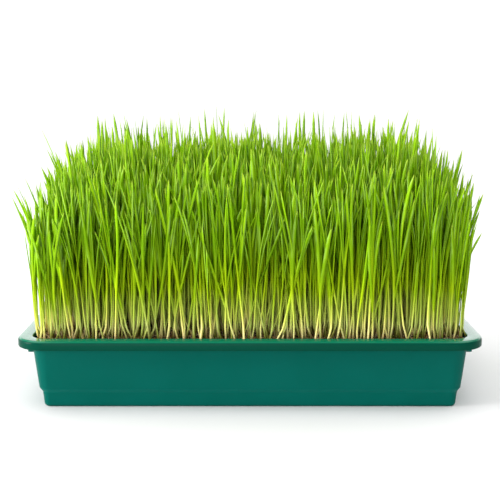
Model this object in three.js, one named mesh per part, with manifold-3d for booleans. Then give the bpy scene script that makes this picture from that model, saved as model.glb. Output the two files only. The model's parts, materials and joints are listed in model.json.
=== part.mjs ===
// A tray of wheatgrass: a moulded seed tray, the potting soil that fills it, and a dense sward of young
// wheat that stands in clumps, each rooted in its own piece of the seed and root mat.
// Millimetres, +Z up. The origin is the centre of the tray's footprint, on the surface it stands on,
// with X along the tray's long side and Y across it.

import * as THREE from "three";
import { mergeVertices } from "three/addons/utils/BufferGeometryUtils.js";
import Module from "manifold-3d";

const wasm = await Module();
wasm.setup();

// Driving dimensions of the tray. An inset is measured inwards from the rim's outer edge.
const LENGTH = 380;
const WIDTH = 240;
const HEIGHT = 60;
const CORNER_RADIUS = 25;
const CORNER_STEPS = 7;
const BEND_STEPS = 2;
const WALL = 1.5;
const GAP = 0.35;

const RIM_WIDTH = 10.6; // overhang of the rim past the wall
const RIM_EDGE_RADIUS = 2.8;
const SKIRT_HEIGHT = 7.5; // from the rim's top down to the bottom of its turned-down edge

const SHOULDER_HEIGHT = 16; // bottom of the upper wall
const SHOULDER_INSET = 15.9;
const STEP_HEIGHT = 12.7; // top of the narrower lower band
const STEP_INSET = 18.6;
const BASE_EDGE_RADIUS = 3.2;
const BASE_INSET = 19.9;

const FOOT_INSET = 32; // inner edge of the ring that the tray stands on
const FOOT_SLOPE = 3;
const PANEL_RISE = 2; // how far the middle of the base stands clear of the surface

const LUG_LENGTH = 12;
const LUG_DEPTH = 3.6;
const LUG_BOTTOM = 45;

const DRAIN_RADIUS = 2.5;
const DRAIN_COLUMNS = 5;
const DRAIN_ROWS = 3;
const DRAIN_PITCH_X = 60;
const DRAIN_PITCH_Y = 55;
const NOTCH_WIDTH = 10;
const NOTCH_DEPTH = 1.1;

// Driving dimensions of the planting.
const SOIL_TOP = 52.5;
const MAT_HEIGHT = 3;
const MAT_CHAMFER = 7.5;
const CLUMP_COLUMNS = 8;
const CLUMP_ROWS = 5;
const SWARD_LENGTH = 352;
const SWARD_WIDTH = 212;
const SHEAVES_ACROSS = 3;
const SHEAF_PITCH = 15;
const SHEAF_WIDTH = 7;
const SHEAF_FLATNESS = 0.45;
const ROOT_WANDER = 1.5;
const SWARD_HEIGHT = 181;
const EDGE_SHORTENING = 42;
const HEIGHT_VARIATION = 7;
const EDGE_SPLAY = 26; // how far the tips of the outermost blades lean out
const TIP_WANDER = 4;

const trayPlastic = new THREE.MeshStandardMaterial({ color: 0x0a6e62, roughness: 0.28, metalness: 0 });
const pottingSoil = new THREE.MeshStandardMaterial({ color: 0x2c1a10, roughness: 0.95, metalness: 0 });
const wheatgrass = new THREE.MeshStandardMaterial({ color: 0x7fb01c, roughness: 0.5, metalness: 0 });

// ---------------------------------------------------------------- shared geometry

// The corners of a rounded rectangle that lies the given inset inside the rim's outer edge, at height z.
function roundedRectangle(inset, z) {
  const radius = Math.max(CORNER_RADIUS - inset, 1);
  const centreX = LENGTH / 2 - inset - radius;
  const centreY = WIDTH / 2 - inset - radius;
  const quarters = [[1, 1], [-1, 1], [-1, -1], [1, -1]];
  return quarters.flatMap(([sideX, sideY], quarter) =>
    Array.from({ length: CORNER_STEPS + 1 }, (_, step) => {
      const angle = (quarter + step / CORNER_STEPS) * (Math.PI / 2);
      const x = sideX * centreX + radius * Math.cos(angle);
      const y = sideY * centreY + radius * Math.sin(angle);
      return new THREE.Vector3(x, y, z);
    }),
  );
}

// A closed body through rings of equal point count, closed by flat ends inside its first and last ring.
function loftGeometry(rings) {
  const count = rings[0].length;
  const index = [];
  for (let ring = 0; ring < rings.length - 1; ring++) {
    for (let i = 0; i < count; i++) {
      const low = ring * count + i;
      const lowNext = ring * count + ((i + 1) % count);
      index.push(low, lowNext, lowNext + count, low, lowNext + count, low + count);
    }
  }
  const last = (rings.length - 1) * count;
  for (let i = 1; i < count - 1; i++) {
    index.push(0, i + 1, i, last, last + i, last + i + 1);
  }
  const coordinates = rings.flat().flatMap((point) => point.toArray());
  const geometry = new THREE.BufferGeometry();
  geometry.setAttribute("position", new THREE.Float32BufferAttribute(coordinates, 3));
  geometry.setIndex(index);
  return geometry;
}

// A profile of [inset, z] through knots of [inset, z, bend radius]. A bend is an arc that meets the
// straight stretches on both sides of its knot, and a knot with no radius is a sharp corner.
function bentProfile(knots) {
  return knots.flatMap(([inset, z, radius], i) => {
    if (!radius) return [[inset, z]];
    const knot = new THREE.Vector2(inset, z);
    const back = new THREE.Vector2(...knots[i - 1]).sub(knot).normalize();
    const ahead = new THREE.Vector2(...knots[i + 1]).sub(knot).normalize();
    const halfAngle = back.angleTo(ahead) / 2;
    const reach = radius / Math.tan(halfAngle);
    const toCentre = back.clone().add(ahead).setLength(radius / Math.sin(halfAngle));
    const start = back.multiplyScalar(reach).sub(toCentre);
    const end = ahead.multiplyScalar(reach).sub(toCentre);
    const sweep = start.angleTo(end);
    return Array.from({ length: BEND_STEPS + 1 }, (_, step) => {
      const startShare = Math.sin((1 - step / BEND_STEPS) * sweep) / Math.sin(sweep);
      const endShare = Math.sin((step / BEND_STEPS) * sweep) / Math.sin(sweep);
      const point = knot.clone().add(toCentre);
      point.addScaledVector(start, startShare).addScaledVector(end, endShare);
      return point.toArray();
    });
  });
}

function solidOf(geometry) {
  const bare = geometry.clone();
  bare.deleteAttribute("normal");
  bare.deleteAttribute("uv");
  const merged = mergeVertices(bare, 1e-4);
  const vertProperties = new Float32Array(merged.attributes.position.array);
  const triVerts = new Uint32Array(merged.index.array);
  return new wasm.Manifold(new wasm.Mesh({ numProp: 3, vertProperties, triVerts }));
}

function geometryOf(solid) {
  const mesh = solid.getMesh();
  const geometry = new THREE.BufferGeometry();
  geometry.setAttribute("position", new THREE.BufferAttribute(new Float32Array(mesh.vertProperties), 3));
  geometry.setIndex(new THREE.BufferAttribute(new Uint32Array(mesh.triVerts), 1));
  geometry.computeVertexNormals();
  return geometry;
}

// A named sub-part, with its shading normals.
function part(name, geometry, material) {
  geometry.computeVertexNormals();
  const mesh = new THREE.Mesh(geometry, material);
  mesh.name = name;
  return mesh;
}

// A repeatable value from -1 to 1 for each whole-number seed.
function wander(seed) {
  const wave = Math.sin(seed * 12.9898 + 4.1414) * 43758.5453;
  return 2 * (wave - Math.floor(wave)) - 1;
}

// ---------------------------------------------------------------- the tray

// Knots of the tray's outside, from the raised middle of its base out over the foot, up the wall and
// under the rim, then round the skirt to the rim's rounded outer edge.
function outerKnots() {
  const underRim = HEIGHT - WALL;
  const skirtBottom = HEIGHT - SKIRT_HEIGHT;
  return [
    [FOOT_INSET + FOOT_SLOPE, PANEL_RISE],
    [FOOT_INSET, 0],
    [BASE_INSET, 0, BASE_EDGE_RADIUS],
    [STEP_INSET, STEP_HEIGHT, 0.7],
    [SHOULDER_INSET, SHOULDER_HEIGHT, 2.2],
    [RIM_WIDTH, underRim, 1],
    [WALL, underRim, 1],
    [WALL, skirtBottom, 0.7],
    [0, skirtBottom, 0.7],
    [0, HEIGHT, RIM_EDGE_RADIUS],
  ];
}

// Knots of its inside, from the inner edge of the rim's flat top down to the floor's raised middle.
function innerKnots() {
  return [
    [RIM_WIDTH + WALL, HEIGHT, 1.3],
    [SHOULDER_INSET + WALL, SHOULDER_HEIGHT + 1, 2],
    [STEP_INSET + WALL, STEP_HEIGHT + 0.6, 1.5],
    [BASE_INSET + WALL, WALL, 2.5],
    [FOOT_INSET, WALL],
    [FOOT_INSET + FOOT_SLOPE, WALL + PANEL_RISE],
  ];
}

// Lugs under the ends of the rim, which keep nested trays from wedging together.
function stackingLugs() {
  const top = HEIGHT - WALL / 2;
  const depth = LUG_DEPTH + WALL;
  const centreX = LENGTH / 2 - RIM_WIDTH - WALL + depth / 2;
  const centreY = WIDTH / 2 - CORNER_RADIUS - LUG_LENGTH / 2 - 1;
  return [-1, 1].flatMap((sideX) =>
    [-1, 1].map((sideY) => {
      const lug = new THREE.BoxGeometry(depth, LUG_LENGTH, top - LUG_BOTTOM);
      return lug.translate(sideX * centreX, sideY * centreY, (top + LUG_BOTTOM) / 2);
    }),
  );
}

function drainHoles() {
  const holes = [];
  for (let column = 0; column < DRAIN_COLUMNS; column++) {
    for (let row = 0; row < DRAIN_ROWS; row++) {
      const hole = new THREE.CylinderGeometry(DRAIN_RADIUS, DRAIN_RADIUS, 20, 10).rotateX(Math.PI / 2);
      const x = (column - (DRAIN_COLUMNS - 1) / 2) * DRAIN_PITCH_X;
      const y = (row - (DRAIN_ROWS - 1) / 2) * DRAIN_PITCH_Y;
      holes.push(hole.translate(x, y, 0));
    }
  }
  return holes;
}

// Shallow notches through the foot at both ends, which let drained water out from under the tray.
function footNotches() {
  const centreX = LENGTH / 2 - (FOOT_INSET + BASE_INSET) / 2;
  const centreY = DRAIN_PITCH_Y / 2;
  return [-1, 1].flatMap((sideX) =>
    [-1, 1].map((sideY) => {
      const notch = new THREE.BoxGeometry(FOOT_INSET, NOTCH_WIDTH, 2 * NOTCH_DEPTH);
      return notch.translate(sideX * centreX, sideY * centreY, 0);
    }),
  );
}

function trayGeometry() {
  const profile = bentProfile([...outerKnots(), ...innerKnots()]);
  const rings = profile.map(([inset, z]) => roundedRectangle(inset, z));
  let tray = solidOf(loftGeometry(rings));
  for (const lug of stackingLugs()) tray = tray.add(solidOf(lug));
  for (const cut of [...drainHoles(), ...footNotches()]) tray = tray.subtract(solidOf(cut));
  return geometryOf(tray);
}

// ---------------------------------------------------------------- the soil

// The soil fills the tray, a small gap clear of its inside, up to the level of the seed mat.
function soilGeometry() {
  const [rimEdge, shoulder, ...below] = innerKnots();
  const share = (SOIL_TOP - shoulder[1]) / (rimEdge[1] - shoulder[1]);
  const topInset = THREE.MathUtils.lerp(shoulder[0], rimEdge[0], share) + 2 * GAP;
  const filled = [shoulder, ...below].map(([inset, z, bend]) => {
    const sideGap = inset < FOOT_INSET ? 2 * GAP : 0;
    return [inset + sideGap, z + GAP, bend];
  });
  const profile = bentProfile([...filled.reverse(), [topInset, SOIL_TOP]]);
  return loftGeometry(profile.map(([inset, z]) => roundedRectangle(inset, z)));
}

// ---------------------------------------------------------------- the sward

// A sheaf of blades as one tapered blade of four sides, flattened and turned, whose tip leans by (x, y).
function sheafGeometry(height, turn, lean) {
  const radius = SHEAF_WIDTH / 2;
  const profile = [
    [0, 0],
    [0.7 * radius, 0],
    [radius, 0.55 * height],
    [0, height],
  ].map(([r, z]) => new THREE.Vector2(r, z));
  const blade = new THREE.LatheGeometry(profile, 4).rotateX(Math.PI / 2);
  blade.scale(1, SHEAF_FLATNESS, 1).rotateZ(turn);
  const position = blade.attributes.position;
  for (let i = 0; i < position.count; i++) {
    const bend = (position.getZ(i) / height) ** 2;
    position.setX(i, position.getX(i) + lean.x * bend);
    position.setY(i, position.getY(i) + lean.y * bend);
  }
  return blade;
}

// One clump's piece of the seed and root mat: a square with its corners cut off.
function matGeometry(length, width) {
  const x = length / 2;
  const y = width / 2;
  const c = MAT_CHAMFER;
  const right = [[x - c, -y], [x, c - y], [x, y - c], [x - c, y]];
  const outline = [...right, ...right.map(([px, py]) => [-px, -py])];
  const shape = new THREE.Shape(outline.map(([px, py]) => new THREE.Vector2(px, py)));
  return new THREE.ExtrudeGeometry(shape, { depth: MAT_HEIGHT, bevelEnabled: false });
}

// Blades are longest in the middle of the tray and shorter along its edges.
function bladeHeight(x, y, seed) {
  const edge = Math.max(Math.abs(x) / (SWARD_LENGTH / 2), Math.abs(y) / (SWARD_WIDTH / 2));
  return SWARD_HEIGHT - EDGE_SHORTENING * edge ** 6 + HEIGHT_VARIATION * wander(seed);
}

// The sward fans out towards its edges, and each tip strays a little from that.
function bladeLean(x, y, seed) {
  const fanX = EDGE_SPLAY * ((2 * x) / SWARD_LENGTH) ** 3;
  const fanY = EDGE_SPLAY * ((2 * y) / SWARD_WIDTH) ** 3;
  return new THREE.Vector2(fanX + TIP_WANDER * wander(seed + 1), fanY + TIP_WANDER * wander(seed + 2));
}

// A clump of sheaves that stand on their mat, around its own centre.
function clumpGeometry(centre, clumpSeed) {
  const matLength = SWARD_LENGTH / CLUMP_COLUMNS - GAP;
  const matWidth = SWARD_WIDTH / CLUMP_ROWS - GAP;
  let clump = solidOf(matGeometry(matLength, matWidth));
  const middle = (SHEAVES_ACROSS - 1) / 2;
  for (let i = 0; i < SHEAVES_ACROSS ** 2; i++) {
    const x = ((i % SHEAVES_ACROSS) - middle) * SHEAF_PITCH;
    const y = (Math.floor(i / SHEAVES_ACROSS) - middle) * SHEAF_PITCH;
    const seed = clumpSeed * 100 + i * 6;
    const height = bladeHeight(centre.x + x, centre.y + y, seed);
    const lean = bladeLean(centre.x + x, centre.y + y, seed);
    const sheaf = sheafGeometry(height, Math.PI * wander(seed + 3), lean);
    const rootX = x + ROOT_WANDER * wander(seed + 4);
    const rootY = y + ROOT_WANDER * wander(seed + 5);
    clump = clump.add(solidOf(sheaf.translate(rootX, rootY, MAT_HEIGHT / 2)));
  }
  return geometryOf(clump);
}

function sward() {
  const group = new THREE.Group();
  group.position.z = SOIL_TOP + GAP;
  for (let row = 0; row < CLUMP_ROWS; row++) {
    for (let column = 0; column < CLUMP_COLUMNS; column++) {
      const x = ((column + 0.5) / CLUMP_COLUMNS - 0.5) * SWARD_LENGTH;
      const y = ((row + 0.5) / CLUMP_ROWS - 0.5) * SWARD_WIDTH;
      const centre = new THREE.Vector2(x, y);
      const geometry = clumpGeometry(centre, row * CLUMP_COLUMNS + column);
      const clump = part(`grass_clump_r${row + 1}_c${column + 1}`, geometry, wheatgrass);
      clump.position.set(x, y, 0);
      group.add(clump);
    }
  }
  return group;
}

// ---------------------------------------------------------------- the whole part

const wheatgrassTray = new THREE.Group();
wheatgrassTray.add(part("seed_tray", trayGeometry(), trayPlastic));
wheatgrassTray.add(part("potting_soil", soilGeometry(), pottingSoil));
wheatgrassTray.add(sward());

export default wheatgrassTray;
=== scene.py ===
# %% [markdown]
# # A tray of young wheatgrass
# The object is a moulded green seed tray, filled with potting soil, on which a dense sward of young wheat
# stands in its own mat of seed and roots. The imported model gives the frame: the tray, the soil and forty
# clumps of grass, all where they belong. This lesson keeps every place from that frame and makes the looks:
# the soft bends of moulded plastic, crumbly soil, and a few thousand separate plants.

import json
import math

import bmesh
import bpy
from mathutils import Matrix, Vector, noise

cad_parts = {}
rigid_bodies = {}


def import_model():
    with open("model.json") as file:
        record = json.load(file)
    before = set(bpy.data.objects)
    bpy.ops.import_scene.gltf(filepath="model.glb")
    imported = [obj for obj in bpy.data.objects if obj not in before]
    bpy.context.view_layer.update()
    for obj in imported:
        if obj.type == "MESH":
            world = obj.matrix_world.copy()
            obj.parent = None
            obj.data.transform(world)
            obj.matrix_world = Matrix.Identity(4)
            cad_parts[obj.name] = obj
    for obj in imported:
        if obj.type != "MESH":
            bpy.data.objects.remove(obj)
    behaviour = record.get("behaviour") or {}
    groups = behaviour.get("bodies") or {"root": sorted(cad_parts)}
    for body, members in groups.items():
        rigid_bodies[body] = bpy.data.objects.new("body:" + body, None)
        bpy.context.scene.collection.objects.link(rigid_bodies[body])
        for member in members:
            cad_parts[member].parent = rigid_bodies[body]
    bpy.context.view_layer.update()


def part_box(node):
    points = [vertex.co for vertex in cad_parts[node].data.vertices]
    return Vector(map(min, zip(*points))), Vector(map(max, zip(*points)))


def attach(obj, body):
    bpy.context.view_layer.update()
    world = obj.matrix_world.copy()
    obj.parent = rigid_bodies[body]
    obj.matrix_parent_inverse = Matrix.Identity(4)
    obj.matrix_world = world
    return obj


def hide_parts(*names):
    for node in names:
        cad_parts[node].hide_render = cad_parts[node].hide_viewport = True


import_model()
tray_low, tray_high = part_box("seed_tray")
soil_low, soil_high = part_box("potting_soil")
print("the tray measures", [round(side, 4) for side in tray_high - tray_low])

# %% [markdown]
# ## The camera and the studio
# A product like this is shown from the front, a little from above, with a long lens from most of a metre
# away, so that the sides of the tray stay nearly square. The distance is measured from the front of the
# rim. The light is a bright, even studio: a white surround that is brightest overhead, a soft box out on
# the left, and a weaker one low in front. A plain white floor takes only the narrow shadow under the tray.

# %% Camera
CAMERA_DISTANCE = 0.790      # metres, like every length here
CAMERA_ABOVE_RIM = 0.1996
CAMERA_PITCH = 9.012         # degrees below the level
CAMERA_LENS = 73.3           # millimetres

scene = bpy.context.scene
scene.view_settings.view_transform = "Standard"
camera_data = bpy.data.cameras.new("front_view")
camera_data.lens = CAMERA_LENS
camera = bpy.data.objects.new("front_view", camera_data)
camera.location = (0, tray_low.y - CAMERA_DISTANCE, tray_high.z + CAMERA_ABOVE_RIM)
camera.rotation_euler = (math.radians(90 - CAMERA_PITCH), 0, 0)
scene.collection.objects.link(camera)
scene.camera = camera
print("the camera stands", round(CAMERA_DISTANCE, 3), "m in front of the rim")


# %% A helper for node trees
class Wire:
    """An output socket that takes part in Python expressions; each operator adds its node."""

    def __init__(self, graph, socket):
        self.graph = graph
        self.socket = socket

    def of(self, name):
        """Another output of the same node."""
        return Wire(self.graph, enabled_socket(self.socket.node.outputs, name))

    def calculate(self, operation, first, second):
        pair = (first, second)
        if any(isinstance(side, Wire) and side.socket.type == "VECTOR" for side in pair):
            sides = [side if isinstance(side, (Wire, tuple)) else (side,) * 3 for side in pair]
            return self.graph.add("ShaderNodeVectorMath", {"operation": operation}, dict(enumerate(sides)))
        return self.graph.add("ShaderNodeMath", {"operation": operation}, dict(enumerate(pair)))

    def __add__(self, other):
        return self.calculate("ADD", self, other)

    def __radd__(self, other):
        return self.calculate("ADD", other, self)

    def __sub__(self, other):
        return self.calculate("SUBTRACT", self, other)

    def __rsub__(self, other):
        return self.calculate("SUBTRACT", other, self)

    def __mul__(self, other):
        return self.calculate("MULTIPLY", self, other)

    def __rmul__(self, other):
        return self.calculate("MULTIPLY", other, self)

    def __truediv__(self, other):
        return self.calculate("DIVIDE", self, other)

    def __rtruediv__(self, other):
        return self.calculate("DIVIDE", other, self)

    def __pow__(self, other):
        return self.calculate("POWER", self, other)


def enabled_socket(sockets, name):
    """A socket by its place or by its name, past the ones that the node's settings switch off."""
    if isinstance(name, int):
        return sockets[name]
    return next(socket for socket in sockets if socket.name == name and socket.enabled)


class Graph:
    """A node tree under construction, for a material or for geometry."""

    def __init__(self, tree):
        self.tree = tree

    def add(self, kind, settings=None, sockets=None, output=None):
        """One node: its settings first, then the values or links of its sockets. Gives back an output."""
        node = self.tree.nodes.new(kind)
        for name, value in (settings or {}).items():
            if name == "stops":
                ramp = node.color_ramp.elements
                while len(ramp) < len(value):
                    ramp.new(0.5)
                for stop, (place, colour) in zip(ramp, value):
                    stop.position = place
                    stop.color = (*colour, 1)
            else:
                setattr(node, name, value)
        for name, value in (sockets or {}).items():
            socket = enabled_socket(node.inputs, name)
            if isinstance(value, Wire):
                self.tree.links.new(value.socket, socket)
            else:
                socket.default_value = value
        if not node.outputs:
            return node
        if output is None:
            return Wire(self, next(socket for socket in node.outputs if socket.enabled))
        return Wire(self, enabled_socket(node.outputs, output))

    def function(self, operation, *values):
        """A Math node that has no operator of its own, such as ABSOLUTE or SINE."""
        return self.add("ShaderNodeMath", {"operation": operation}, dict(enumerate(values)))

    def between(self, value, low, high, to_low=0.0, to_high=1.0):
        """Rises smoothly from to_low to to_high while value goes from low to high."""
        settings = {"interpolation_type": "SMOOTHSTEP"}
        sockets = {"Value": value, "From Min": low, "From Max": high, "To Min": to_low, "To Max": to_high}
        return self.add("ShaderNodeMapRange", settings, sockets)

    def blend(self, share, first, second, how="MIX"):
        """A mix of two colours."""
        settings = {"data_type": "RGBA", "blend_type": how}
        pair = [c if isinstance(c, Wire) else (*c, 1) for c in (first, second)]
        return self.add("ShaderNodeMix", settings, {"Factor": share, "A": pair[0], "B": pair[1]})

    def parts(self, vector):
        """The x, y and z of a vector."""
        x = self.add("ShaderNodeSeparateXYZ", None, {"Vector": vector})
        return x, x.of("Y"), x.of("Z")

    def vector(self, x, y, z):
        return self.add("ShaderNodeCombineXYZ", None, {"X": x, "Y": y, "Z": z})

    def vector_function(self, operation, *vectors, output=None):
        """A Vector Math node that has no operator of its own, such as LENGTH."""
        return self.add("ShaderNodeVectorMath", {"operation": operation}, dict(enumerate(vectors)), output)


def new_material(name, shown):
    """A material and the graph that its surface is drawn on; shown is its colour in the solid view."""
    material = bpy.data.materials.new(name)
    material.use_nodes = True
    material.diffuse_color = (*shown, 1)
    material.node_tree.nodes.clear()
    return material, Graph(material.node_tree)


print("node helpers ready")

# %% Studio
FLOOR_SIZE = 12.0
FLOOR_WHITE = 0.75
HORIZON_WHITE = 1.10         # the wall of the studio, which closes the picture behind the floor
WALL_LIGHT = 0.42
CEILING_LIGHT = 2.2
BACKDROP_LIGHT = 1.5         # the upper part of the studio's back wall, which is lit from below
LAMPS = {
    "key_left": {"place": (-2.2, -0.6, 0.65), "size": 0.9, "watts": 64},
    "front_low": {"place": (-0.3, -1.9, 0.42), "size": 0.8, "watts": 14},
}


def lamp(name, place, size, watts):
    """A square soft box that faces the middle of the grass."""
    data = bpy.data.lights.new(name, "AREA")
    data.size = size
    data.energy = watts
    box = bpy.data.objects.new(name, data)
    box.location = place
    aim = Vector((0, 0, tray_high.z)) - Vector(place)
    box.rotation_euler = aim.to_track_quat("-Z", "Y").to_euler()
    scene.collection.objects.link(box)


for lamp_name, values in LAMPS.items():
    lamp(lamp_name, **values)

world = bpy.data.worlds.new("white_studio")
world.use_nodes = True
world.node_tree.nodes.clear()
sky = Graph(world.node_tree)
direction = sky.add("ShaderNodeTexCoord", output="Generated")
_, away, height = sky.parts(direction)    # 1 is straight back, and straight up
brightness = sky.between(height, 0.08, 0.20, HORIZON_WHITE, WALL_LIGHT)
brightness = brightness + sky.between(height, 0.62, 0.82, 0.0, CEILING_LIGHT - WALL_LIGHT)
backdrop = sky.between(height, 0.06, 0.16) * (1 - sky.between(height, 0.34, 0.46))
brightness = brightness + backdrop * sky.between(away, 0.0, 0.5, 0.0, BACKDROP_LIGHT)
surround = sky.add("ShaderNodeBackground", None, {"Color": (1, 1, 1, 1), "Strength": brightness})
sky.add("ShaderNodeOutputWorld", None, {"Surface": surround})
scene.world = world

floor_material, paper = new_material("white_floor", (0.9, 0.9, 0.9))
grain = paper.add("ShaderNodeTexNoise", None, {"Scale": 40.0, "Detail": 3.0})
white = paper.blend(grain, (FLOOR_WHITE,) * 3, (FLOOR_WHITE - 0.01,) * 3)
matt = paper.add("ShaderNodeBsdfPrincipled", None, {"Base Color": white, "Roughness": 0.9})
paper.add("ShaderNodeOutputMaterial", None, {"Surface": matt})

floor_mesh = bpy.data.meshes.new("floor")
half_floor = FLOOR_SIZE / 2
floor_corners = ((-1, -1), (1, -1), (1, 1), (-1, 1))
floor_mesh.from_pydata([(x * half_floor, y * half_floor, 0) for x, y in floor_corners], [], [(0, 1, 2, 3)])
floor_mesh.materials.append(floor_material)
floor = bpy.data.objects.new("floor", floor_mesh)
scene.collection.objects.link(floor)
print("studio:", len(LAMPS), "soft boxes over a white floor")

# %% [markdown]
# ## The seed tray
# The real tray is injection moulded in one piece: a thin wall with draft, a step low down where it narrows
# to its foot, and a rim that is rolled over and turned down into a short skirt. A scaled box with a bevel
# would miss the draft and the step, so the tray is lofted: one closed outline of its wall, with every bend
# rounded, is carried round a rounded rectangle. The bends get several points each, so they stay smooth.

# %% Tray sizes
MM = 0.001
CORNER_RADIUS = 25 * MM
WALL = 1.5 * MM
RIM_WIDTH = 10.6 * MM        # from the rim's outer edge in to the wall
SKIRT_HEIGHT = 7.5 * MM
STEP_HEIGHT = 12.7 * MM      # top of the narrower lower band
STEP_INSET = 18.6 * MM
SHOULDER_HEIGHT = 16.0 * MM  # bottom of the upper wall
SHOULDER_INSET = 15.9 * MM
BASE_INSET = 19.9 * MM
FOOT_INSET = 32 * MM         # inner edge of the ring that the tray stands on
FOOT_SLOPE = 3 * MM          # from that edge to where the middle of the base is level
PANEL_INSET = FOOT_INSET + 8 * MM
PANEL_RISE = 2 * MM
CORNER_STEPS = 20
STRAIGHT_STEPS = {"x": 36, "y": 24}
BEND_STEPS = 5

half_length = tray_high.x
half_width = tray_high.y
tray_height = tray_high.z


def rounded_outline(knots):
    """Points of (inset, z) along straight stretches between knots of (inset, z, bend radius)."""
    outline = []
    for before, knot, after in zip(knots, knots[1:], knots[2:]):
        corner = Vector(knot[:2])
        towards = (Vector(before[:2]) - corner).normalized()
        away = (Vector(after[:2]) - corner).normalized()
        turn = towards.angle(away)
        reach = knot[2] / math.tan(turn / 2)
        centre = corner + (towards + away).normalized() * knot[2] / math.sin(turn / 2)
        start = corner + towards * reach - centre
        end = corner + away * reach - centre
        sweep = start.angle(end)
        for step in range(BEND_STEPS + 1):
            share = step / BEND_STEPS
            arm = start * math.sin((1 - share) * sweep) + end * math.sin(share * sweep)
            outline.append(centre + arm / math.sin(sweep))
    return [Vector(knots[0][:2]), *outline, Vector(knots[-1][:2])]


def inset_loop(inset, z):
    """Points of a rounded rectangle that lies inset inside the rim's outer edge."""
    radius = max(CORNER_RADIUS - inset, 1 * MM)
    centre_x = half_length - inset - radius
    centre_y = half_width - inset - radius
    points = []
    for quarter, (side_x, side_y) in enumerate(((1, 1), (-1, 1), (-1, -1), (1, -1))):
        for step in range(CORNER_STEPS + 1):
            angle = (quarter + step / CORNER_STEPS) * math.pi / 2
            x = side_x * centre_x + radius * math.cos(angle)
            y = side_y * centre_y + radius * math.sin(angle)
            points.append(Vector((x, y, z)))
        start = points[-1]
        if quarter % 2 == 0:
            steps = STRAIGHT_STEPS["x"]
            end = Vector((-start.x, start.y, z))
        else:
            steps = STRAIGHT_STEPS["y"]
            end = Vector((start.x, -start.y, z))
        points += [start.lerp(end, step / steps) for step in range(1, steps)]
    return points


def tray_outline():
    """The section of the tray's wall: up the outside, round the rim, and down the inside.

    Each knot is an inset from the rim's outer edge, a height, and the radius of the bend there.
    """
    top = tray_height
    under = top - WALL
    skirt = top - SKIRT_HEIGHT
    inner = RIM_WIDTH + WALL
    outside = [
        (PANEL_INSET, PANEL_RISE, 0),
        (FOOT_INSET + FOOT_SLOPE, PANEL_RISE, 1.5 * MM),
        (FOOT_INSET, 0, 1.2 * MM),
        (BASE_INSET, 0, 3.2 * MM),
        (STEP_INSET, STEP_HEIGHT, 4.0 * MM),
        (SHOULDER_INSET, SHOULDER_HEIGHT, 4.0 * MM),
        (RIM_WIDTH, under, 1.0 * MM),
        (WALL, under, 1.0 * MM),
        (WALL, skirt, 0.7 * MM),
        (0, skirt, 0.7 * MM),
        (0, top, 2.8 * MM),
    ]
    inside = [
        (inner, top, 1.3 * MM),
        (SHOULDER_INSET + WALL, SHOULDER_HEIGHT + 1 * MM, 2 * MM),
        (STEP_INSET + WALL, STEP_HEIGHT + 0.6 * MM, 1.5 * MM),
        (BASE_INSET + WALL - 0.1 * MM, WALL, 2.5 * MM),
        (FOOT_INSET, WALL, 1.5 * MM),
        (FOOT_INSET + FOOT_SLOPE, WALL + PANEL_RISE, 1.5 * MM),
        (PANEL_INSET, WALL + PANEL_RISE, 0),
    ]
    return rounded_outline(outside + inside)


outline = tray_outline()
print("the tray's wall section has", len(outline), "points")


# %% Loft the tray
def link_piece(name, mesh):
    """A new object in the scene, at the origin, that shows the mesh."""
    piece = bpy.data.objects.new(name, mesh)
    scene.collection.objects.link(piece)
    return piece


def loft(name, loops):
    """A closed body through loops of equal point count, with flat caps inside its first and last loop."""
    body = bmesh.new()
    rings = [[body.verts.new(point) for point in loop] for loop in loops]
    for low, high in zip(rings, rings[1:]):
        for i in range(len(low)):
            body.faces.new((low[i - 1], low[i], high[i], high[i - 1]))
    body.faces.new(list(reversed(rings[0])))
    body.faces.new(rings[-1])
    bmesh.ops.recalc_face_normals(body, faces=body.faces)
    mesh = bpy.data.meshes.new(name)
    body.to_mesh(mesh)
    body.free()
    return mesh


tray = link_piece("moulded_tray", loft("moulded_tray", [inset_loop(*point) for point in outline]))
print("the tray has", len(tray.data.polygons), "faces")

# %% Lugs, drain holes and foot notches
LUG_LENGTH = 12 * MM
LUG_DEPTH = 3.6 * MM
LUG_BOTTOM = 45 * MM
DRAIN_RADIUS = 2.5 * MM
DRAIN_COLUMNS, DRAIN_ROWS = 5, 3
DRAIN_PITCH_X, DRAIN_PITCH_Y = 60 * MM, 55 * MM
NOTCH_WIDTH = 10 * MM
NOTCH_DEPTH = 1.1 * MM
BLOCK_BEVEL = 0.5 * MM
DRILL_LENGTH = 20 * MM
CREASE_ANGLE = 32            # degrees; sharper edges than this stay crisp in the shading


def block_mesh(name, centre, size):
    """A block with rounded edges."""
    body = bmesh.new()
    bmesh.ops.create_cube(body, size=1)
    bmesh.ops.scale(body, vec=size, verts=body.verts)
    bmesh.ops.bevel(body, geom=body.edges[:], offset=BLOCK_BEVEL, segments=2, profile=0.5, affect="EDGES")
    bmesh.ops.translate(body, vec=centre, verts=body.verts)
    mesh = bpy.data.meshes.new(name)
    body.to_mesh(mesh)
    body.free()
    return mesh


def drill_mesh(name, centre):
    """An upright cylinder as wide as a drain hole."""
    body = bmesh.new()
    bmesh.ops.create_cone(body, cap_ends=True, segments=24, radius1=DRAIN_RADIUS, radius2=DRAIN_RADIUS,
                          depth=DRILL_LENGTH)
    bmesh.ops.translate(body, vec=centre, verts=body.verts)
    mesh = bpy.data.meshes.new(name)
    body.to_mesh(mesh)
    body.free()
    return mesh


def apply_modifiers(piece):
    """Keeps the piece as its modifiers show it, as a plain mesh."""
    settled = bpy.data.meshes.new_from_object(piece.evaluated_get(bpy.context.evaluated_depsgraph_get()))
    piece.modifiers.clear()
    piece.data = settled


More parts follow.
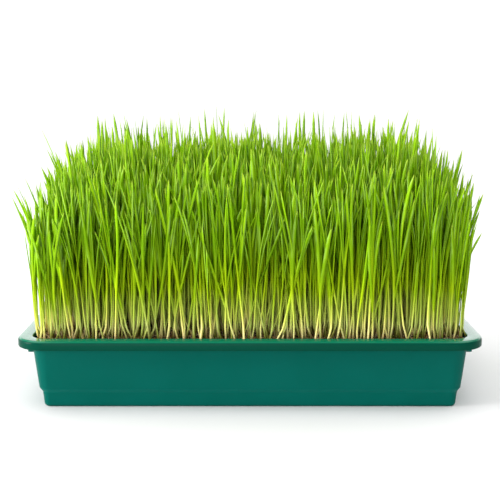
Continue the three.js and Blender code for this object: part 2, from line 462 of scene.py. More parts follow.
def combine(piece, meshes, operation):
    """Joins to the piece, or cuts from it, each of the meshes."""
    tools = bpy.data.collections.new("tools")
    scene.collection.children.link(tools)
    for mesh in meshes:
        tools.objects.link(bpy.data.objects.new("tool", mesh))
    modifier = piece.modifiers.new(operation.lower(), "BOOLEAN")
    modifier.operation = operation
    modifier.operand_type = "COLLECTION"
    modifier.collection = tools
    apply_modifiers(piece)
    for tool in list(tools.objects):
        bpy.data.objects.remove(tool)
    bpy.data.collections.remove(tools)


lug_top = tray_height - WALL / 2
lug_x = half_length - RIM_WIDTH - WALL + (LUG_DEPTH + WALL) / 2
lug_y = half_width - CORNER_RADIUS - LUG_LENGTH / 2 - 1 * MM
lugs = [
    block_mesh("lug", (side_x * lug_x, side_y * lug_y, (lug_top + LUG_BOTTOM) / 2),
               (LUG_DEPTH + WALL, LUG_LENGTH, lug_top - LUG_BOTTOM))
    for side_x in (-1, 1) for side_y in (-1, 1)
]
drains = [
    drill_mesh("drain", ((column - (DRAIN_COLUMNS - 1) / 2) * DRAIN_PITCH_X,
                         (row - (DRAIN_ROWS - 1) / 2) * DRAIN_PITCH_Y, 0))
    for column in range(DRAIN_COLUMNS) for row in range(DRAIN_ROWS)
]
notch_x = half_length - (FOOT_INSET + BASE_INSET) / 2
notches = [
    block_mesh("notch", (side_x * notch_x, side_y * DRAIN_PITCH_Y / 2, 0),
               (FOOT_INSET, NOTCH_WIDTH, 2 * NOTCH_DEPTH))
    for side_x in (-1, 1) for side_y in (-1, 1)
]
combine(tray, lugs, "UNION")
combine(tray, drains + notches, "DIFFERENCE")
tray.data.shade_smooth()
tray.data.set_sharp_from_angle(angle=math.radians(CREASE_ANGLE))
print("the tray with lugs, holes and notches has", len(tray.data.polygons), "faces")

# %% [markdown]
# ### Moulded plastic
# The tray is polypropylene, coloured through in a deep blue-green. Light and shade are painted into that
# colour: the flat of the rim is painted lighter as light from above, its turned-down skirt is painted
# darker as shade, and the downward face of the step is painted lighter as light thrown up from the floor.
# The surface is satin, with a shallow bump from the mould, and only the top of the rim is glossy, most of
# all at both ends, where hands have polished it. So a few masks made of height and facing pick out zones.

# %% Tray material
LEDGE_LIGHT_STARTS = (9 * MM, 12 * MM)       # heights over which the painted light on the step's downward face comes in
LEDGE_LIGHT_ENDS = (17 * MM, 20 * MM)        # and goes out again
HANDLED_ENDS = (half_length - 50 * MM, half_length - 12 * MM)

plastic, mould = new_material("green_polypropylene", (0.0, 0.12, 0.09))
place = mould.add("ShaderNodeTexCoord", output="Object")
clouds = mould.add("ShaderNodeTexNoise", None, {"Vector": place, "Scale": 28.0, "Detail": 4.0})
specks = mould.add("ShaderNodeTexNoise", None, {"Vector": place, "Scale": 900.0, "Detail": 2.0})
wall_colour = mould.blend(mould.between(clouds, 0.35, 0.65), (0.0002, 0.090, 0.069), (0.0004, 0.095, 0.074))
facing_up = mould.parts(mould.add("ShaderNodeNewGeometry", output="Normal"))[2]
upward = mould.between(facing_up, 0.45, 0.90)
along_tray, _, level = mould.parts(place)
in_rim = mould.between(level, tray_height - SKIRT_HEIGHT - 1 * MM, tray_height - SKIRT_HEIGHT)
# Painted light: the downward face of the step is painted lighter, as light thrown up from the floor.
ledge_painted_light = mould.between(level, *LEDGE_LIGHT_STARTS) * (1 - mould.between(level, *LEDGE_LIGHT_ENDS))
ledge_painted_light = ledge_painted_light * mould.between(0 - facing_up, 0.20, 0.55)
wall_colour = mould.blend(ledge_painted_light, wall_colour, (0.001, 0.114, 0.090))
# Painted shade: the rim and its turned-down skirt are painted darker, as shade; the next line paints the
# flat top lighter again.
colour = mould.blend(in_rim, wall_colour, (0.0001, 0.049, 0.029))
# Painted light: the upward flat of the rim is painted lighter, as light falling on it from above and off
# the grass.
colour = mould.blend(in_rim * upward, colour, (0.0003, 0.155, 0.080))
roughness = 0.24 + 0.03 * clouds
handled = mould.between(mould.function("ABSOLUTE", along_tray), *HANDLED_ENDS)
polish = 0.01 + upward * (0.12 + 0.70 * handled)
ripple = mould.add("ShaderNodeBump", None, {"Strength": 0.05, "Distance": 0.0004, "Height": specks})
shell = mould.add("ShaderNodeBsdfPrincipled", None, {
    "Base Color": colour, "Roughness": roughness, "Normal": ripple, "Specular IOR Level": 0.035,
    "Coat Weight": polish, "Coat Roughness": 0.08})
mould.add("ShaderNodeOutputMaterial", None, {"Surface": shell})
tray.data.materials.clear()
tray.data.materials.append(plastic)
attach(tray, "root")
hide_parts("seed_tray")
print("plastic on", tray.name)

# %% [markdown]
# ## The potting soil
# The soil fills the tray to a few millimetres below the rim. It is dark, damp and crumbly. Its top is a
# grid, pulled in at the corners and pushed up and down by noise, and its sides slope in with the wall.

# %% Soil block
SOIL_GRID_X, SOIL_GRID_Y = 120, 72
SOIL_RELIEF = 1.4 * MM
SOIL_CORNER = 11.3 * MM
SOIL_TAPER = 11 * MM         # how far its sides come in from its top to its bottom


def rounded_in(x, y, half_x, half_y, radius):
    """The point (x, y), pulled in where it lies past the rounded corners of a rectangle."""
    straight_x = half_x - radius
    straight_y = half_y - radius
    inner = Vector((max(-straight_x, min(x, straight_x)), max(-straight_y, min(y, straight_y))))
    past = Vector((x, y)) - inner
    if past.length > radius:
        past *= radius / past.length
    return inner + past


def soil_mesh():
    """A block with a lumpy top, whose outer edge follows the inside of the tray."""
    body = bmesh.new()
    grid = []
    for row in range(SOIL_GRID_Y + 1):
        line = []
        for column in range(SOIL_GRID_X + 1):
            x = soil_low.x + (soil_high.x - soil_low.x) * column / SOIL_GRID_X
            y = soil_low.y + (soil_high.y - soil_low.y) * row / SOIL_GRID_Y
            x, y = rounded_in(x, y, soil_high.x, soil_high.y, SOIL_CORNER)
            lump = noise.fractal(Vector((x, y, 0)) * 90, 1.0, 2.0, 4)
            line.append(body.verts.new((x, y, soil_high.z - SOIL_RELIEF + SOIL_RELIEF * lump)))
        grid.append(line)
    for row in range(SOIL_GRID_Y):
        for column in range(SOIL_GRID_X):
            body.faces.new((grid[row][column], grid[row][column + 1], grid[row + 1][column + 1],
                            grid[row + 1][column]))
    rim = [edge for edge in body.edges if edge.is_boundary]
    skirt = bmesh.ops.extrude_edge_only(body, edges=rim)["geom"]
    lowest = [item for item in skirt if isinstance(item, bmesh.types.BMVert)]
    for vertex in lowest:
        vertex.co.z = soil_low.z
        vertex.co.x *= (soil_high.x - SOIL_TAPER) / soil_high.x
        vertex.co.y *= (soil_high.y - SOIL_TAPER) / soil_high.y
    bmesh.ops.contextual_create(body, geom=[item for item in body.edges if item.is_boundary])
    bmesh.ops.recalc_face_normals(body, faces=body.faces)
    mesh = bpy.data.meshes.new("soil_block")
    body.to_mesh(mesh)
    body.free()
    return mesh


soil = link_piece("crumbly_soil", soil_mesh())
soil.data.shade_smooth()
peat, ground = new_material("damp_potting_soil", (0.03, 0.018, 0.01))
place = ground.add("ShaderNodeTexCoord", output="Object")
crumbs = ground.add("ShaderNodeTexVoronoi", None, {"Vector": place, "Scale": 420.0})
damp = ground.add("ShaderNodeTexNoise", None, {"Vector": place, "Scale": 60.0, "Detail": 6.0})
fibre = ground.add("ShaderNodeTexNoise", None, {"Vector": place, "Scale": 700.0, "Detail": 3.0})
earth = ground.blend(damp, (0.010, 0.006, 0.003), (0.060, 0.034, 0.017))
earth = ground.blend(ground.between(fibre, 0.60, 0.72), earth, (0.16, 0.10, 0.05))
relief = ground.add("ShaderNodeBump", None, {"Strength": 0.6, "Distance": 0.0015, "Height": crumbs + fibre})
dirt = ground.add("ShaderNodeBsdfPrincipled", None, {
    "Base Color": earth, "Roughness": 0.9, "Normal": relief, "Specular IOR Level": 0.2})
ground.add("ShaderNodeOutputMaterial", None, {"Surface": dirt})
soil.data.materials.append(peat)
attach(soil, "root")
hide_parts("potting_soil")
print("soil with", len(soil.data.polygons), "faces")

# %% [markdown]
# ## The sward
# Young wheat stands about as tall as a hand is long. Each plant has a pale foot, a thin sheath, and two
# narrow leaves: the second one grows out of the sheath beside the first, so the pair makes a slim V. Blades
# lean with their neighbours, fan out over the edge of the tray, and are shorter there. A few lean far over
# and cross the others.
#
# Thousands of plants can't be placed by hand, so a Geometry Nodes tree grows them. It scatters points over
# a clump's patch of the seed mat, gives every plant its own numbers there, puts a plain four-sided rod on
# each, and then bends and widens every rod into a leaf by a formula. The same tree grows all forty clumps.

# %% Sward sizes
CLUMP_ROWS, CLUMP_COLUMNS = 5, 8
MAT_BOTTOM = soil_high.z + 0.35 * MM
MAT_THICKNESS = 3.0 * MM
MAT_CLEARANCE = 1.6 * MM     # between the mat and the inside of the tray
SWARD_HALF_LENGTH = half_length - RIM_WIDTH - WALL - MAT_CLEARANCE
SWARD_HALF_WIDTH = half_width - RIM_WIDTH - WALL - MAT_CLEARANCE
SWARD_CORNER = 13 * MM
PLANT_SPACING = 3.4 * MM
BLADE_SEGMENTS = 11
TONES = 16
FOOT_SHARE = 0.16            # the lowest part of a plant, where it curves up out of its seed
BLADE_FLOOR = 0.22           # blades use the map above this height; grains and roots use it below
FIRST_STEM = 0.72 * MM       # half the width of the sheath of a plant's first leaf
SECOND_STEM = 0.45 * MM
HALF_LEAF = 0.17 * MM        # half the thickness of an open leaf


class GrowGraph(Graph):
    """A geometry tree under construction, with the steps that the sward repeats."""

    def __init__(self, name, inputs):
        super().__init__(bpy.data.node_groups.new(name, "GeometryNodeTree"))
        sockets = self.tree.interface
        sockets.new_socket("Geometry", in_out="INPUT", socket_type="NodeSocketGeometry")
        for label, (kind, value) in inputs.items():
            sockets.new_socket(label, in_out="INPUT", socket_type=kind).default_value = value
        sockets.new_socket("Geometry", in_out="OUTPUT", socket_type="NodeSocketGeometry")
        self.given = self.add("NodeGroupInput")

    def random(self, low, high, seed):
        """A random number for each point, between low and high."""
        limits = {"Min": low, "Max": high, "Seed": seed}
        return self.add("FunctionNodeRandomValue", {"data_type": "FLOAT"}, limits)

    def store(self, geometry, name, value, kind="FLOAT", domain="POINT"):
        """Keeps a value on the geometry under a name."""
        return self.add("GeometryNodeStoreNamedAttribute", {"data_type": kind, "domain": domain},
                        {"Geometry": geometry, "Name": name, "Value": value})

    def read(self, name, kind="FLOAT"):
        """A value that was stored before."""
        return self.add("GeometryNodeInputNamedAttribute", {"data_type": kind}, {"Name": name})

    def scatter(self, patch, spacing, seed, margin=0.0):
        """Points at least the given spacing apart, kept inside the mat's rounded outline by the margin."""
        points = self.add("GeometryNodeDistributePointsOnFaces", {"distribute_method": "POISSON"}, {
            "Mesh": patch, "Distance Min": spacing, "Density Max": 1.6 / PLANT_SPACING ** 2, "Seed": seed})
        straight_x = SWARD_HALF_LENGTH - SWARD_CORNER
        straight_y = SWARD_HALF_WIDTH - SWARD_CORNER
        x, y, _ = self.parts(self.add("GeometryNodeInputPosition"))
        past_x = self.function("MAXIMUM", self.function("ABSOLUTE", x) - straight_x, 0)
        past_y = self.function("MAXIMUM", self.function("ABSOLUTE", y) - straight_y, 0)
        outside = self.function("GREATER_THAN", past_x * past_x + past_y * past_y,
                                (SWARD_CORNER - margin) ** 2)
        return self.add("GeometryNodeDeleteGeometry", {"domain": "POINT"}, {
            "Geometry": points, "Selection": outside})

    def rods(self, points, sides, segments):
        """A rod on each point that knows, at every vertex, where it is across, sideways and along."""
        rod = self.add("GeometryNodeMeshCylinder", {"fill_type": "NGON"}, {
            "Vertices": sides, "Side Segments": segments, "Radius": 1.0, "Depth": 1.0}, "Mesh")
        x, y, z = self.parts(self.add("GeometryNodeInputPosition"))
        for name, value in (("across", x), ("side", y), ("along", z + 0.5)):
            rod = self.store(rod, name, value)
        placed = self.add("GeometryNodeInstanceOnPoints", None, {"Points": points, "Instance": rod})
        return self.add("GeometryNodeRealizeInstances", None, {"Geometry": placed})

    def finish(self, geometry, names):
        """Drops the working attributes and sends the geometry out."""
        for name in names:
            geometry = self.add("GeometryNodeRemoveAttribute", None, {"Geometry": geometry, "Name": name})
        self.add("NodeGroupOutput", None, {"Geometry": geometry})


print("plants stand at least", round(PLANT_SPACING / MM, 1), "mm apart")


# %% Grow the blades
def plant_numbers(grow, points, seed):
    """Gives every plant its height, lean, bend, turn and tone, from its place and from chance."""
    position = grow.add("GeometryNodeInputPosition")
    x, y, _ = grow.parts(position)
    side = x / SWARD_HALF_LENGTH
    front = y / SWARD_HALF_WIDTH
    # The sward is lower all round its edge, and there it drops most at the left end.
    tall = grow.given.of("Blade length")
    tall = tall * (1 - grow.between(0 - side, 0.70, 1.04, 0.0, 0.25))
    tall = tall * (1 - grow.between(side, 0.80, 1.02, 0.0, 0.20))
    tall = tall * (1 - grow.between(0 - front, 0.45, 1.0, 0.0, 0.16))
    tall = tall * (1 - grow.between(front, 0.75, 1.0, 0.0, 0.10))
    # Most plants are nearly full height, and a very few stand out above the rest.
    chance = grow.random(0.0, 1.0, seed + 1)
    tall = tall * (0.66 + 0.28 * chance ** 0.6 + 0.16 * grow.random(0.0, 1.0, seed + 2) ** 8.0)
    pattern = {"Vector": position, "Scale": 26.0, "Detail": 1.0}
    drift_x, drift_y, _ = grow.parts(grow.add("ShaderNodeTexNoise", None, pattern, "Color"))
    fan = grow.given.of("Fan")
    near_ends = grow.between(grow.function("ABSOLUTE", side), 0.55, 1.0, 0.0, 0.4)
    stray = grow.given.of("Stray") * (1 - near_ends)
    lean_x = fan * side * side * side + stray * (3.2 * drift_x - 1.6 + grow.random(-1.0, 1.0, seed + 3))
    lean_y = fan * front * front * front + stray * (3.2 * drift_y - 1.6 + grow.random(-1.0, 1.0, seed + 4))
    # A cube keeps most of these small, so only a few plants cross the others.
    crossing = grow.random(-1.0, 1.0, seed + 16)
    crossing = crossing * crossing * crossing * grow.given.of("Crossing")
    lean_x = lean_x + crossing * (1 - side * side)
    bend_angle = grow.random(0.0, math.tau, seed + 5)
    bend_size = grow.random(0.0, 1.0, seed + 6) ** 2.2 * grow.given.of("Bend")
    bend_x = bend_size * grow.function("COSINE", bend_angle)
    bend_y = bend_size * grow.function("SINE", bend_angle)
    kink_angle = grow.random(0.0, math.tau, seed + 14)
    kink_size = grow.random(0.0, 1.0, seed + 15) * grow.given.of("Foot kink")
    kink_x = kink_size * grow.function("COSINE", kink_angle)
    kink_y = kink_size * grow.function("SINE", kink_angle)
    numbers = {
        "kink": (grow.vector(kink_x, kink_y, 0.0), "FLOAT_VECTOR"),
        "root_place": (position, "FLOAT_VECTOR"),
        "tall": (tall, "FLOAT"),
        "lean": (grow.vector(lean_x, lean_y, 0.0), "FLOAT_VECTOR"),
        "bend": (grow.vector(bend_x, bend_y, 0.0), "FLOAT_VECTOR"),
        "turn": (grow.random(0.0, math.tau, seed + 7), "FLOAT"),
        "twist": (grow.random(-2.2, 2.2, seed + 8), "FLOAT"),
        "wide": (grow.random(0.58, 1.16, seed + 9) * grow.given.of("Blade width"), "FLOAT"),
        "fork": (grow.random(0.26, 0.50, seed + 10), "FLOAT"),
        "reach": (grow.random(0.72, 1.02, seed + 11), "FLOAT"),
        "splay": ((0.25 + 1.3 * grow.random(0.0, 1.0, seed + 12) ** 2.2) * grow.given.of("Splay"), "FLOAT"),
        "tone": (grow.function("FLOOR", grow.random(0.0, TONES - 0.01, seed + 13)), "FLOAT"),
    }
    for name, (value, kind) in numbers.items():
        points = grow.store(points, name, value, kind)
    return points, list(numbers)


def leaf_shape(grow, rods, second):
    """Bends and widens each rod into a leaf on its sheath, or into the second leaf beside it."""
    along = grow.read("along")
    eased = 1 - (1 - along) ** 1.25
    fork = grow.read("fork")
    start = fork - 0.10 if second else 0.0
    reach = grow.read("reach") if second else 1.0
    share = start + (1 - start) * reach * eased
    tall = grow.read("tall")
    lean = grow.read("lean", "FLOAT_VECTOR")
    bend = grow.read("bend", "FLOAT_VECTOR")
    centre = grow.read("root_place", "FLOAT_VECTOR") + lean * share + bend * (share * share * share)
    centre = centre + grow.vector(0.0, 0.0, tall * share)
    centre = centre + grow.vector(0.0, 0.0, MAT_THICKNESS * 0.6)
    foot = grow.function("MAXIMUM", 1 - share / FOOT_SHARE, 0.0)
    centre = centre + grow.read("kink", "FLOAT_VECTOR") * (foot * foot)
    away = grow.read("turn") + (math.pi / 2 if second else -math.pi / 2)
    leaving = grow.function("MAXIMUM", share - fork, 0.0)
    splay = grow.read("splay") * leaving ** 1.3 * (1.0 if second else 0.45)
    away_x = grow.function("COSINE", away)
    away_y = grow.function("SINE", away)
    centre = centre + grow.vector(away_x * splay, away_y * splay, 0.0)
    facing = grow.read("turn") + grow.read("twist") * share
    facing_x = grow.function("COSINE", facing)
    facing_y = grow.function("SINE", facing)
    open_leaf = grow.between(eased, 0.02, 0.40) if second else grow.between(share, 0.16, 0.46)
    tip_start = 0.84 if second else 0.90
    near_tip = grow.function("MAXIMUM", eased - tip_start, 0.0) / (1 - tip_start)
    taper = (1 - 0.14 * eased) * (1 - near_tip ** 2.2) + 0.08
    stem = SECOND_STEM if second else FIRST_STEM * (1 + 0.25 * foot)
    half_wide = (stem + (grow.read("wide") - stem) * open_leaf) * taper
    half_thick = (stem * 0.9 + (HALF_LEAF - stem * 0.9) * open_leaf) * (0.35 + 0.65 * taper)
    across = grow.read("across") * half_wide
    fold = grow.function("ABSOLUTE", grow.read("across")) * half_wide * open_leaf * 0.38
    side = grow.read("side") * half_thick + fold
    offset = grow.vector(facing_x * across - facing_y * side, facing_y * across + facing_x * side, 0.0)
    return grow.add("GeometryNodeSetPosition", None, {"Geometry": rods, "Position": centre + offset})


def leaf_map(grow, leaves, second):
    """Lays every leaf in its tone's column of the map: across it to the side, along it upwards."""
    along = grow.read("along")
    rise = 0.30 + 0.70 * along if second else along
    u = (grow.read("tone") + 0.5 + 0.45 * grow.read("across")) / TONES
    v = BLADE_FLOOR + (1 - BLADE_FLOOR) * rise
    return grow.store(leaves, "OFBake", grow.vector(u, v, 0.0), "FLOAT2", "CORNER")


def grow_leaves(grow, points, material, second):
    """The first leaf of every plant, or the second one beside it."""
    leaves = grow.rods(points, 4, BLADE_SEGMENTS)
    leaves = leaf_shape(grow, leaves, second)
    leaves = leaf_map(grow, leaves, second)
    return grow.add("GeometryNodeSetMaterial", None, {"Geometry": leaves, "Material": material})


print("leaf steps ready")

# %% [markdown]
# ### Leaf, grain and root
# A wheat blade is thin enough for light to shine through it, which is what makes a sward glow. So the blade
# mixes an ordinary surface with a translucent one. Its colour runs from the cream foot through yellow-green
# to fresh green, with fine lengthwise veins, and every plant takes one of sixteen tones. Some tones keep
# the brown husk of the seed round their foot. All of that is read from the blade's own map, so the colours
# stay with the blade however it bends.

# %% Blade material
blade_material, leaf = new_material("wheatgrass_blade", (0.25, 0.45, 0.02))
uv = leaf.add("ShaderNodeUVMap", {"uv_map": "OFBake"})
u, v, _ = leaf.parts(uv)
column = leaf.function("FLOOR", u * TONES)
across = leaf.function("FRACT", u * TONES) * 2 - 1
rise = (v - BLADE_FLOOR) / (1 - BLADE_FLOOR)
tone = leaf.add("ShaderNodeTexWhiteNoise", {"noise_dimensions": "1D"}, {"W": column + 0.5}, "Value")
foot_to_tip = leaf.add("ShaderNodeValToRGB", {"stops": [
    (0.00, (0.95, 0.82, 0.44)),
    (0.05, (0.97, 0.91, 0.42)),
    (0.14, (0.72, 0.78, 0.15)),
    (0.30, (0.46, 0.66, 0.003)),
    (0.55, (0.22, 0.48, 0.001)),
    (0.90, (0.28, 0.60, 0.004)),
    (1.00, (0.50, 0.66, 0.06)),
]}, {0: rise})
husk = leaf.between(tone, 0.35, 0.75) * (1 - leaf.between(rise, 0.03, 0.11))
foot_to_tip = leaf.blend(husk * 0.85, foot_to_tip, (0.26, 0.135, 0.045))
fresh = leaf.blend(tone, (1.30, 1.20, 1.30), (0.68, 0.77, 0.70))
toned = leaf.blend(1.0, foot_to_tip, fresh, "MULTIPLY")
mottle = leaf.add("ShaderNodeTexNoise", {"noise_dimensions": "2D"}, {
    "Vector": leaf.vector(column * 3.7, rise * 6.0, 0.0), "Scale": 1.0, "Detail": 2.0})
toned = leaf.blend(leaf.between(mottle, 0.3, 0.7, 0.0, 0.35), toned, (0.40, 0.62, 0.003))
veins = leaf.function("SINE", across * 38.0) * 0.5 + 0.5
midrib = 1 - leaf.between(leaf.function("ABSOLUTE", across), 0.0, 0.14)
streaks = leaf.between(rise, 0.15, 0.35) * (veins * 0.16 + midrib * 0.22)
# Painted sheen: patches of paler green on one side of the upper blades stand for the sky reflected off
# them.
painted_sheen = leaf.between(rise, 0.45, 0.80) * leaf.between(across, -0.2, 0.6) * leaf.between(mottle, 0.40, 0.60)
toned = leaf.blend(painted_sheen * 0.32, toned, (0.52, 0.82, 0.30))
surface_colour = leaf.blend(streaks, toned, (0.60, 0.78, 0.02))
skin = leaf.add("ShaderNodeBsdfPrincipled", None, {
    "Base Color": surface_colour, "Roughness": 0.40, "Specular IOR Level": 0.08})
glow = leaf.add("ShaderNodeBsdfTranslucent", None, {"Color": surface_colour})
blade = leaf.add("ShaderNodeMixShader", None, {0: 0.34, 1: skin, 2: glow})
leaf.add("ShaderNodeOutputMaterial", None, {"Surface": blade})
print("blade material with", TONES, "tones")

# %% [markdown]
# ### Seed grains, roots and the mat
# The plants stand in a felt of their own roots, on which the empty grains and some pale roots still lie. In
# between the feet of the blades only scraps of it show, so it needs dull, uneven colours and small loose
# shapes rather than fine detail. Grains are squashed spheres, roots are thin rods bent into low arches, and
# the mat is a slab with a lumpy top. All three take their colours from bands low on the blades' map.

# %% Grain, root and mat materials
GRAIN_BAND = (0.14, 0.20)    # the heights on the map that grains, roots and the mat use
ROOT_BAND = (0.09, 0.13)
MAT_BAND = (0.00, 0.08)


def map_material(name, shown, band, stops, pattern, roughness):
    """A dull material that runs through its colours along its own band of the map, and is patterned."""
    material, graph = new_material(name, shown)
    spot = graph.add("ShaderNodeUVMap", {"uv_map": "OFBake"})
    u, v, _ = graph.parts(spot)
    along = (v - band[0]) / (band[1] - band[0])
    ramp = graph.add("ShaderNodeValToRGB", {"stops": stops}, {0: along})
    freckles = graph.add("ShaderNodeTexNoise", {"noise_dimensions": "2D"}, {
        "Vector": graph.vector(u * pattern[0], along * pattern[1], 0.0), "Scale": 1.0, "Detail": 4.0})
    worn = graph.blend(graph.between(freckles, 0.35, 0.65), (0.42, 0.38, 0.34), (1.25, 1.2, 1.1))
    colour = graph.blend(1.0, ramp, worn, "MULTIPLY")
    surface = graph.add("ShaderNodeBsdfPrincipled", None, {
        "Base Color": colour, "Roughness": roughness, "Specular IOR Level": 0.25})
    graph.add("ShaderNodeOutputMaterial", None, {"Surface": surface})
    return material


grain_material = map_material("wheat_grain_husk", (0.4, 0.25, 0.1), GRAIN_BAND, [
    (0.0, (0.04, 0.018, 0.006)),
    (0.15, (0.18, 0.09, 0.03)),
    (0.8, (0.30, 0.17, 0.06)),
    (1.0, (0.60, 0.44, 0.22)),
], (60.0, 4.0), 0.55)
root_material = map_material("wheat_root", (0.7, 0.6, 0.4), ROOT_BAND, [
    (0.0, (0.78, 0.66, 0.42)),
    (0.6, (0.80, 0.70, 0.50)),
    (1.0, (0.52, 0.36, 0.18)),
], (70.0, 5.0), 0.6)
mat_material = map_material("root_mat", (0.1, 0.06, 0.03), MAT_BAND, [
    (0.0, (0.030, 0.012, 0.004)),
    (0.5, (0.045, 0.020, 0.006)),
    (1.0, (0.027, 0.011, 0.003)),
], (55.0, 50.0), 0.9)
print("the mat uses", MAT_BAND, "of the map's height")

# %% Seed grains, roots and the mat
GRAIN_HALF_SIZE = (3.0 * MM, 1.5 * MM, 1.3 * MM)
GRAIN_SPACING = 3.4 * MM
GRAIN_MARGIN = 2.0 * MM      # kept free all round the edge of the mat
ROOT_SPACING = 3.6 * MM
ROOT_MARGIN = 4.5 * MM
HALF_ROOT = 0.24 * MM        # half the thickness of a root at its thick end


def band_map(grow, geometry, material, band, across, along):
    """Lays a small piece in its own band of the map, and gives it its material."""
    v = band[0] + (band[1] - band[0]) * along
    geometry = grow.store(geometry, "OFBake", grow.vector(across, v, 0.0), "FLOAT2", "CORNER")
    return grow.add("GeometryNodeSetMaterial", None, {"Geometry": geometry, "Material": material})


def grow_grains(grow, patch, seed):
    """Sprouted seed that lies on the mat, turned every way."""
    points = grow.scatter(patch, GRAIN_SPACING, seed + 20, GRAIN_MARGIN)
    points = grow.store(points, "tone", grow.random(0.05, 0.95, seed + 21))
    grain = grow.add("GeometryNodeMeshUVSphere", None, {"Segments": 8, "Rings": 6, "Radius": 1.0}, "Mesh")
    x, y, _ = grow.parts(grow.add("GeometryNodeInputPosition"))
    grain = grow.store(grow.store(grain, "along", 0.5 + 0.5 * x), "across", y)
    grain = grow.add("GeometryNodeSetShadeSmooth", None, {"Geometry": grain})
    size = grow.random(0.7, 1.15, seed + 22)
    scale = size * grow.vector(*GRAIN_HALF_SIZE)
    turned = grow.vector(grow.random(-0.5, 0.5, seed + 23), grow.random(-0.6, 0.6, seed + 24),
                         grow.random(0.0, math.tau, seed + 25))
    placed = grow.add("GeometryNodeInstanceOnPoints", None, {
        "Points": points, "Instance": grain, "Rotation": turned, "Scale": scale})
    grains = grow.add("GeometryNodeRealizeInstances", None, {"Geometry": placed})
    lifted = grow.vector(0.0, 0.0, MAT_THICKNESS + 0.5 * MM)
    grains = grow.add("GeometryNodeSetPosition", None, {"Geometry": grains, "Offset": lifted})
    across = grow.read("tone") + 0.02 * grow.read("across")
    return band_map(grow, grains, grain_material, GRAIN_BAND, across, grow.read("along"))


def grow_roots(grow, patch, seed):
    """Thin roots that creep over the mat in low arches."""
    points = grow.scatter(patch, ROOT_SPACING, seed + 30, ROOT_MARGIN)
    numbers = {
        "root_place": (grow.add("GeometryNodeInputPosition"), "FLOAT_VECTOR"),
        "turn": (grow.random(0.0, math.tau, seed + 31), "FLOAT"),
        "tall": (grow.random(5 * MM, 12 * MM, seed + 32), "FLOAT"),
        "twist": (grow.random(-3.5 * MM, 3.5 * MM, seed + 33), "FLOAT"),
        "wide": (grow.random(0.6 * MM, 3.4 * MM, seed + 34), "FLOAT"),
        "tone": (grow.random(0.02, 0.98, seed + 35), "FLOAT"),
    }
    for name, (value, kind) in numbers.items():
        points = grow.store(points, name, value, kind)
    roots = grow.rods(points, 3, 6)
    along = grow.read("along")
    turn = grow.read("turn")
    arch = grow.function("SINE", along * math.pi)
    run = grow.read("tall") * (along - 0.5)
    drift = grow.read("twist") * arch
    thick = HALF_ROOT * (1.15 - along)
    forward_x, forward_y = grow.function("COSINE", turn), grow.function("SINE", turn)
    sideways = drift + grow.read("across") * thick
    x = forward_x * run - forward_y * sideways
    y = forward_y * run + forward_x * sideways
    z = MAT_THICKNESS + grow.read("wide") * arch + grow.read("side") * thick
    roots = grow.add("GeometryNodeSetPosition", None, {
        "Geometry": roots, "Position": grow.read("root_place", "FLOAT_VECTOR") + grow.vector(x, y, z)})
    return band_map(grow, roots, root_material, ROOT_BAND, grow.read("tone"), along)


def grow_mat(grow, patch):
    """The felt of roots and soil that holds a clump together: a slab with a lumpy top."""
    fine = grow.add("GeometryNodeSubdivideMesh", None, {"Mesh": patch, "Level": 4})
    place = grow.add("GeometryNodeInputPosition")
    lumps = grow.add("ShaderNodeTexNoise", None, {"Vector": place, "Scale": 130.0, "Detail": 3.0})
    rise = MAT_THICKNESS * (0.35 + 1.0 * lumps)
    up = grow.vector(0.0, 0.0, 1.0)
    top = grow.add("GeometryNodeExtrudeMesh", None, {
        "Mesh": fine, "Offset": up, "Offset Scale": rise, "Individual": False}, "Mesh")
    bottom = grow.add("GeometryNodeFlipFaces", None, {"Mesh": fine})
    slab = grow.add("GeometryNodeJoinGeometry")
    for half in (bottom, top):
        grow.tree.links.new(half.socket, slab.socket.node.inputs[0])
    slab = grow.add("GeometryNodeMergeByDistance", None, {"Geometry": slab, "Distance": 0.01 * MM})
    straight = (SWARD_HALF_LENGTH - SWARD_CORNER, SWARD_HALF_WIDTH - SWARD_CORNER, 1.0)
    inner = grow.vector_function("MAXIMUM", place, tuple(-side for side in straight))
    inner = grow.vector_function("MINIMUM", inner, straight)
    past = place - inner
    length = grow.vector_function("LENGTH", past, output="Value")
    kept = grow.function("MINIMUM", SWARD_CORNER / grow.function("MAXIMUM", length, 0.1 * MM), 1.0)
    slab = grow.add("GeometryNodeSetPosition", None, {"Geometry": slab, "Position": inner + past * kept})
    x, y, _ = grow.parts(place)
    u = 0.5 + 0.5 * x / half_length
    v = grow.function("FRACT", 4 * (0.5 + 0.5 * y / half_width)) * 0.96 + 0.02
    return band_map(grow, slab, mat_material, MAT_BAND, u, v)


print("grain, root and mat steps ready")

# %% [markdown]
# ### Forty clumps
# Now the steps come together in one tree: its input is a flat patch of the mat, and out come the plants,
# the grains, the roots and the slab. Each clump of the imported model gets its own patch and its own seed,
# and the tree's result is kept as a plain mesh. Growing them one by one keeps every clump a separate piece.

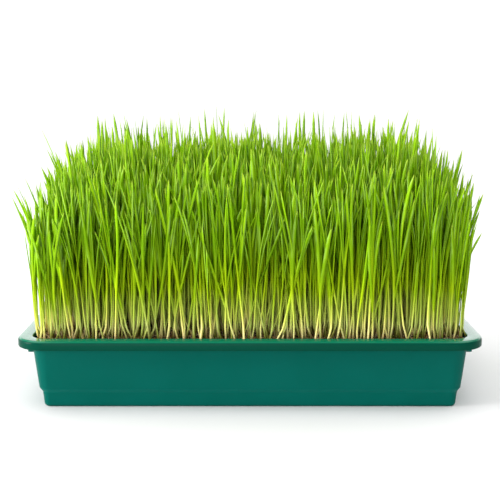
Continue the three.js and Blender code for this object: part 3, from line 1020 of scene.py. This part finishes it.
# %% The tree of one clump
sward_tree = GrowGraph("wheatgrass_clump", {
    "Seed": ("NodeSocketInt", 0),
    "Blade length": ("NodeSocketFloat", 0.1745),
    "Blade width": ("NodeSocketFloat", 0.00148),
    "Fan": ("NodeSocketFloat", 0.006),
    "Stray": ("NodeSocketFloat", 0.009),
    "Crossing": ("NodeSocketFloat", 0.032),
    "Foot kink": ("NodeSocketFloat", 0.006),
    "Bend": ("NodeSocketFloat", 0.020),
    "Splay": ("NodeSocketFloat", 0.021),
})
patch = sward_tree.given.of("Geometry")
seed = sward_tree.given.of("Seed")
plants, working_names = plant_numbers(sward_tree, sward_tree.scatter(patch, PLANT_SPACING, seed), seed)
first_leaves = grow_leaves(sward_tree, plants, blade_material, False)
second_leaves = grow_leaves(sward_tree, plants, blade_material, True)
joined = sward_tree.add("GeometryNodeJoinGeometry")
grains = grow_grains(sward_tree, patch, seed)
roots = grow_roots(sward_tree, patch, seed)
for part in (roots, grains, second_leaves, first_leaves, grow_mat(sward_tree, patch)):
    sward_tree.tree.links.new(part.socket, joined.socket.node.inputs[0])
sward_tree.finish(joined, [*working_names, "across", "side", "along"])
print("the clump's tree has", len(sward_tree.tree.nodes), "nodes")


# %% Grow every clump
FIRST_SEED = 1000
SEEDS_PER_CLUMP = 50         # the tree uses the numbers after its seed, so clumps keep this far apart


def settle(piece, tree, inputs):
    """Runs a Geometry Nodes tree on the piece and keeps the result as its plain mesh."""
    modifier = piece.modifiers.new(tree.name, "NODES")
    modifier.node_group = tree
    for item in tree.interface.items_tree:
        if item.in_out == "INPUT" and item.name in inputs:
            modifier[item.identifier] = inputs[item.name]
    scene.collection.objects.link(piece)
    apply_modifiers(piece)


def clump_patch(name, row, column):
    """A flat square of the mat under one clump, where its plants are scattered."""
    mesh = bpy.data.meshes.new(name)
    x_low, x_high = ((2 * (column + end) / CLUMP_COLUMNS - 1) * SWARD_HALF_LENGTH for end in (0, 1))
    y_low, y_high = ((2 * (row + end) / CLUMP_ROWS - 1) * SWARD_HALF_WIDTH for end in (0, 1))
    corners = [(x_low, y_low), (x_high, y_low), (x_high, y_high), (x_low, y_high)]
    mesh.from_pydata([(x, y, MAT_BOTTOM) for x, y in corners], [], [(0, 1, 2, 3)])
    return mesh


faces = 0
for row in range(CLUMP_ROWS):
    for column_number in range(CLUMP_COLUMNS):
        label = f"r{row + 1}_c{column_number + 1}"
        clump = bpy.data.objects.new("wheatgrass_" + label, clump_patch(label, row, column_number))
        clump_seed = FIRST_SEED + SEEDS_PER_CLUMP * (row * CLUMP_COLUMNS + column_number)
        settle(clump, sward_tree.tree, {"Seed": clump_seed})
        clump.data.shade_smooth()
        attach(clump, "root")
        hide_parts("grass_clump_" + label)
        faces += len(clump.data.polygons)
print("the sward has", faces, "faces in", CLUMP_ROWS * CLUMP_COLUMNS, "clumps")
